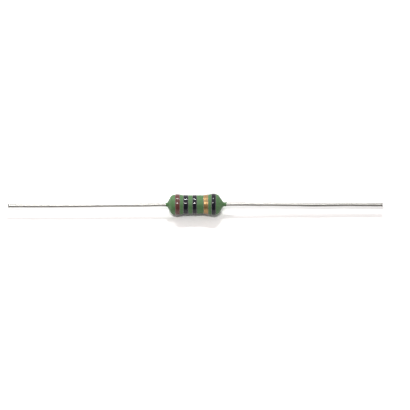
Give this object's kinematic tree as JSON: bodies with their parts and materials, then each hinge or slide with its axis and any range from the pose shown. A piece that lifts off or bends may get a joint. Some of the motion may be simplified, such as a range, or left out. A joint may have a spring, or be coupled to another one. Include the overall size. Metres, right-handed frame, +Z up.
{
  "type": "noninductive wirewound resistor",
  "caption": "Small axial-lead power resistor with a dipped dog-bone body, glossy colour bands and long straight tinned leads.",
  "frame": {"origin": "the middle of the part, on the body's axis, halfway between the two cut ends of the leads", "axes": "X along the leads, towards the end with the last, black band; Z up as it lies"},
  "size_m": [0.064, 0.0036, 0.0036],
  "materials": {
    "ceramic": "unglazed, fine-grained",
    "plated_cap": "drawn and tin plated",
    "tinned_wire": "tin-plated copper, with fine drawing lines",
    "resistance_ribbon": "bare alloy ribbon",
    "green_coating": "matte dipped cement with a faint grain",
    "brown_paint": "glossy raised paint",
    "black_paint": "glossy raised paint",
    "gold_paint": "glossy raised metallic paint"
  },
  "bodies": {
    "root": {"ceramic_core": "ceramic", "end_cap_left": "plated_cap", "end_cap_right": "plated_cap", "lead_left": "tinned_wire", "lead_right": "tinned_wire", "winding_right_hand": "resistance_ribbon", "winding_left_hand": "resistance_ribbon", "coating": "green_coating", "colour_band_1_brown": "brown_paint", "colour_band_2_black": "black_paint", "colour_band_3_black": "black_paint", "colour_band_4_gold": "gold_paint", "colour_band_5_black": "black_paint"}
  },
  "joints": []
}
